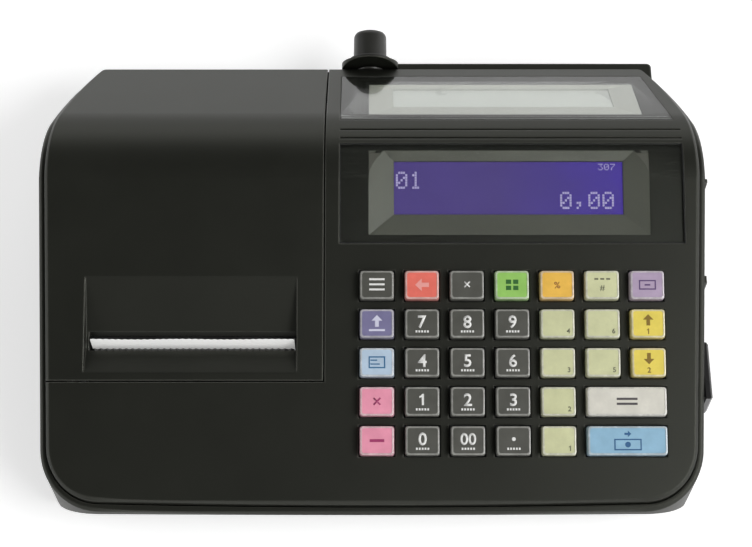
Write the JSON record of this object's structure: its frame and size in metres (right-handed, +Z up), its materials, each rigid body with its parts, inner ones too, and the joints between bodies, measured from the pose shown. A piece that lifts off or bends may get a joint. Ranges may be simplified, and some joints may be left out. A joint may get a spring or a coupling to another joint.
{
  "type": "ticket register",
  "caption": "Desktop ticket register: sloped keyboard deck, two display windows, built-in receipt printer under a hinged cover.",
  "frame": {"origin": "on the table, under the middle of the register's overall length and width", "axes": "+X to the operator's right, +Y to the customer's side, +Z up"},
  "size_m": [0.2648, 0.2174, 0.0748],
  "materials": {
    "case_dark": "matte",
    "cover_dark": "matte",
    "steel": "brushed",
    "lens_clear": "gloss",
    "lcd": "gloss",
    "circuit_board": "satin",
    "mat_rubber": "matte",
    "socket_black": "satin",
    "frame_grey": "matte",
    "head_ceramic": "satin",
    "roller_rubber": "matte",
    "gear_white": "satin",
    "motor_steel": "satin",
    "paper": "matte",
    "switch_black": "gloss",
    "knob_black": "satin",
    "foot_rubber": "matte",
    "screw_steel": "satin",
    "key_dark": "gloss",
    "key_black": "gloss",
    "key_red": "gloss",
    "key_pink": "gloss",
    "key_pale_green": "gloss",
    "key_light_blue": "gloss",
    "key_off_white": "gloss",
    "key_yellow": "gloss",
    "key_violet_blue": "gloss",
    "key_green": "gloss",
    "key_orange": "gloss",
    "key_lavender": "gloss"
  },
  "bodies": {
    "base": {"lower_case": "case_dark", "upper_case": "case_dark", "operator_lens": "lens_clear", "customer_lens": "lens_clear", "operator_lcd": "lcd", "customer_lcd": "lcd", "keyboard_board": "circuit_board", "key_mat": "mat_rubber", "main_board": "circuit_board", "rear_ports": "socket_black", "printer_frame": "frame_grey", "print_head": "head_ceramic", "head_springs": "steel", "feed_motor": "motor_steel", "paper_web": "paper", "power_switch_housing": "switch_black", "rubber_feet": "foot_rubber", "case_screws": "screw_steel"},
    "cover": {"printer_cover": "cover_dark", "tear_bar": "steel"},
    "platen": {"platen_shaft": "gear_white", "platen_roller": "roller_rubber"},
    "idler": {"idler_gear": "gear_white"},
    "pinion": {"motor_pinion": "gear_white"},
    "roll": {"paper_roll": "paper"},
    "knob": {"rear_knob": "knob_black"},
    "rocker": {"power_rocker": "switch_black"},
    "key_void_body": {"key_void": "key_pink"},
    "key_0_body": {"key_0": "key_dark"},
    "key_00_body": {"key_00": "key_dark"},
    "key_point_body": {"key_point": "key_dark"},
    "key_group_1_body": {"key_group_1": "key_pale_green"},
    "key_cash_body": {"key_cash": "key_light_blue"},
    "key_cancel_body": {"key_cancel": "key_pink"},
    "key_1_body": {"key_1": "key_dark"},
    "key_2_body": {"key_2": "key_dark"},
    "key_3_body": {"key_3": "key_dark"},
    "key_group_2_body": {"key_group_2": "key_pale_green"},
    "key_subtotal_body": {"key_subtotal": "key_off_white"},
    "key_client_body": {"key_client": "key_light_blue"},
    "key_4_body": {"key_4": "key_dark"},
    "key_5_body": {"key_5": "key_dark"},
    "key_6_body": {"key_6": "key_dark"},
    "key_group_3_body": {"key_group_3": "key_pale_green"},
    "key_group_5_body": {"key_group_5": "key_pale_green"},
    "key_payment_2_body": {"key_payment_2": "key_yellow"},
    "key_paper_feed_body": {"key_paper_feed": "key_violet_blue"},
    "key_7_body": {"key_7": "key_dark"},
    "key_8_body": {"key_8": "key_dark"},
    "key_9_body": {"key_9": "key_dark"},
    "key_group_4_body": {"key_group_4": "key_pale_green"},
    "key_group_6_body": {"key_group_6": "key_pale_green"},
    "key_payment_1_body": {"key_payment_1": "key_yellow"},
    "key_menu_body": {"key_menu": "key_black"},
    "key_clear_body": {"key_clear": "key_red"},
    "key_multiply_body": {"key_multiply": "key_dark"},
    "key_item_body": {"key_item": "key_green"},
    "key_percent_body": {"key_percent": "key_orange"},
    "key_shift_body": {"key_shift": "key_pale_green"},
    "key_drawer_body": {"key_drawer": "key_lavender"}
  },
  "joints": [
    {"name": "cover_hinge", "type": "hinge", "parent": "base", "child": "cover", "pos_m": [0, 0.07931, 0.03524], "axis": [-1, 0, 0], "range_deg": [0, 80]},
    {"name": "knob_turn", "type": "hinge", "parent": "base", "child": "knob", "pos_m": [-0.0008, 0.09098, 0.032], "axis": [0, 0.9659, 0.2588], "range_deg": [-135, 135]},
    {"name": "power_switch", "type": "hinge", "parent": "base", "child": "rocker", "pos_m": [0.12607, -0.05402, 0.035], "axis": [0, 0, 1], "range_deg": [-14, 0]},
    {"name": "roll_spin", "type": "hinge", "parent": "base", "child": "roll", "pos_m": [-0.07, 0.03298, 0.038], "axis": [1, 0, 0], "continuous": true},
    {"name": "platen_spin", "type": "hinge", "parent": "base", "child": "platen", "pos_m": [-0.07, -0.03937, 0.038], "axis": [1, 0, 0], "continuous": true},
    {"name": "idler_spin", "type": "hinge", "parent": "base", "child": "idler", "pos_m": [-0.11945, -0.05454, 0.03256], "axis": [1, 0, 0], "continuous": true},
    {"name": "pinion_spin", "type": "hinge", "parent": "base", "child": "pinion", "pos_m": [-0.11945, -0.06702, 0.0292], "axis": [1, 0, 0], "continuous": true},
    {"name": "key_void_press", "type": "slide", "parent": "base", "child": "key_void_body", "axis": [0, 0.309, -0.9511], "range_m": [0, 0.0022], "stiffness_N_per_m": 270, "springref_m": -0.0005},
    {"name": "key_0_press", "type": "slide", "parent": "base", "child": "key_0_body", "axis": [0, 0.309, -0.9511], "range_m": [0, 0.0022], "stiffness_N_per_m": 270, "springref_m": -0.0005},
    {"name": "key_00_press", "type": "slide", "parent": "base", "child": "key_00_body", "axis": [0, 0.309, -0.9511], "range_m": [0, 0.0022], "stiffness_N_per_m": 270, "springref_m": -0.0005},
    {"name": "key_point_press", "type": "slide", "parent": "base", "child": "key_point_body", "axis": [0, 0.309, -0.9511], "range_m": [0, 0.0022], "stiffness_N_per_m": 270, "springref_m": -0.0005},
    {"name": "key_group_1_press", "type": "slide", "parent": "base", "child": "key_group_1_body", "axis": [0, 0.309, -0.9511], "range_m": [0, 0.0022], "stiffness_N_per_m": 270, "springref_m": -0.0005},
    {"name": "key_cash_press", "type": "slide", "parent": "base", "child": "key_cash_body", "axis": [0, 0.309, -0.9511], "range_m": [0, 0.0022], "stiffness_N_per_m": 270, "springref_m": -0.0005},
    {"name": "key_cancel_press", "type": "slide", "parent": "base", "child": "key_cancel_body", "axis": [0, 0.309, -0.9511], "range_m": [0, 0.0022], "stiffness_N_per_m": 270, "springref_m": -0.0005},
    {"name": "key_1_press", "type": "slide", "parent": "base", "child": "key_1_body", "axis": [0, 0.309, -0.9511], "range_m": [0, 0.0022], "stiffness_N_per_m": 270, "springref_m": -0.0005},
    {"name": "key_2_press", "type": "slide", "parent": "base", "child": "key_2_body", "axis": [0, 0.309, -0.9511], "range_m": [0, 0.0022], "stiffness_N_per_m": 270, "springref_m": -0.0005},
    {"name": "key_3_press", "type": "slide", "parent": "base", "child": "key_3_body", "axis": [0, 0.309, -0.9511], "range_m": [0, 0.0022], "stiffness_N_per_m": 270, "springref_m": -0.0005},
    {"name": "key_group_2_press", "type": "slide", "parent": "base", "child": "key_group_2_body", "axis": [0, 0.309, -0.9511], "range_m": [0, 0.0022], "stiffness_N_per_m": 270, "springref_m": -0.0005},
    {"name": "key_subtotal_press", "type": "slide", "parent": "base", "child": "key_subtotal_body", "axis": [0, 0.309, -0.9511], "range_m": [0, 0.0022], "stiffness_N_per_m": 270, "springref_m": -0.0005},
    {"name": "key_client_press", "type": "slide", "parent": "base", "child": "key_client_body", "axis": [0, 0.309, -0.9511], "range_m": [0, 0.0022], "stiffness_N_per_m": 270, "springref_m": -0.0005},
    {"name": "key_4_press", "type": "slide", "parent": "base", "child": "key_4_body", "axis": [0, 0.309, -0.9511], "range_m": [0, 0.0022], "stiffness_N_per_m": 270, "springref_m": -0.0005},
    {"name": "key_5_press", "type": "slide", "parent": "base", "child": "key_5_body", "axis": [0, 0.309, -0.9511], "range_m": [0, 0.0022], "stiffness_N_per_m": 270, "springref_m": -0.0005},
    {"name": "key_6_press", "type": "slide", "parent": "base", "child": "key_6_body", "axis": [0, 0.309, -0.9511], "range_m": [0, 0.0022], "stiffness_N_per_m": 270, "springref_m": -0.0005},
    {"name": "key_group_3_press", "type": "slide", "parent": "base", "child": "key_group_3_body", "axis": [0, 0.309, -0.9511], "range_m": [0, 0.0022], "stiffness_N_per_m": 270, "springref_m": -0.0005},
    {"name": "key_group_5_press", "type": "slide", "parent": "base", "child": "key_group_5_body", "axis": [0, 0.309, -0.9511], "range_m": [0, 0.0022], "stiffness_N_per_m": 270, "springref_m": -0.0005},
    {"name": "key_payment_2_press", "type": "slide", "parent": "base", "child": "key_payment_2_body", "axis": [0, 0.309, -0.9511], "range_m": [0, 0.0022], "stiffness_N_per_m": 270, "springref_m": -0.0005},
    {"name": "key_paper_feed_press", "type": "slide", "parent": "base", "child": "key_paper_feed_body", "axis": [0, 0.309, -0.9511], "range_m": [0, 0.0022], "stiffness_N_per_m": 270, "springref_m": -0.0005},
    {"name": "key_7_press", "type": "slide", "parent": "base", "child": "key_7_body", "axis": [0, 0.309, -0.9511], "range_m": [0, 0.0022], "stiffness_N_per_m": 270, "springref_m": -0.0005},
    {"name": "key_8_press", "type": "slide", "parent": "base", "child": "key_8_body", "axis": [0, 0.309, -0.9511], "range_m": [0, 0.0022], "stiffness_N_per_m": 270, "springref_m": -0.0005},
    {"name": "key_9_press", "type": "slide", "parent": "base", "child": "key_9_body", "axis": [0, 0.309, -0.9511], "range_m": [0, 0.0022], "stiffness_N_per_m": 270, "springref_m": -0.0005},
    {"name": "key_group_4_press", "type": "slide", "parent": "base", "child": "key_group_4_body", "axis": [0, 0.309, -0.9511], "range_m": [0, 0.0022], "stiffness_N_per_m": 270, "springref_m": -0.0005},
    {"name": "key_group_6_press", "type": "slide", "parent": "base", "child": "key_group_6_body", "axis": [0, 0.309, -0.9511], "range_m": [0, 0.0022], "stiffness_N_per_m": 270, "springref_m": -0.0005},
    {"name": "key_payment_1_press", "type": "slide", "parent": "base", "child": "key_payment_1_body", "axis": [0, 0.309, -0.9511], "range_m": [0, 0.0022], "stiffness_N_per_m": 270, "springref_m": -0.0005},
    {"name": "key_menu_press", "type": "slide", "parent": "base", "child": "key_menu_body", "axis": [0, 0.309, -0.9511], "range_m": [0, 0.0022], "stiffness_N_per_m": 270, "springref_m": -0.0005},
    {"name": "key_clear_press", "type": "slide", "parent": "base", "child": "key_clear_body", "axis": [0, 0.309, -0.9511], "range_m": [0, 0.0022], "stiffness_N_per_m": 270, "springref_m": -0.0005},
    {"name": "key_multiply_press", "type": "slide", "parent": "base", "child": "key_multiply_body", "axis": [0, 0.309, -0.9511], "range_m": [0, 0.0022], "stiffness_N_per_m": 270, "springref_m": -0.0005},
    {"name": "key_item_press", "type": "slide", "parent": "base", "child": "key_item_body", "axis": [0, 0.309, -0.9511], "range_m": [0, 0.0022], "stiffness_N_per_m": 270, "springref_m": -0.0005},
    {"name": "key_percent_press", "type": "slide", "parent": "base", "child": "key_percent_body", "axis": [0, 0.309, -0.9511], "range_m": [0, 0.0022], "stiffness_N_per_m": 270, "springref_m": -0.0005},
    {"name": "key_shift_press", "type": "slide", "parent": "base", "child": "key_shift_body", "axis": [0, 0.309, -0.9511], "range_m": [0, 0.0022], "stiffness_N_per_m": 270, "springref_m": -0.0005},
    {"name": "key_drawer_press", "type": "slide", "parent": "base", "child": "key_drawer_body", "axis": [0, 0.309, -0.9511], "range_m": [0, 0.0022], "stiffness_N_per_m": 270, "springref_m": -0.0005}
  ],
  "couplings": [
    {"joint": "platen_spin", "follows": "roll_spin", "ratio": 4.5455},
    {"joint": "idler_spin", "follows": "roll_spin", "ratio": -4.5455},
    {"joint": "pinion_spin", "follows": "roll_spin", "ratio": 7.5758}
  ]
}
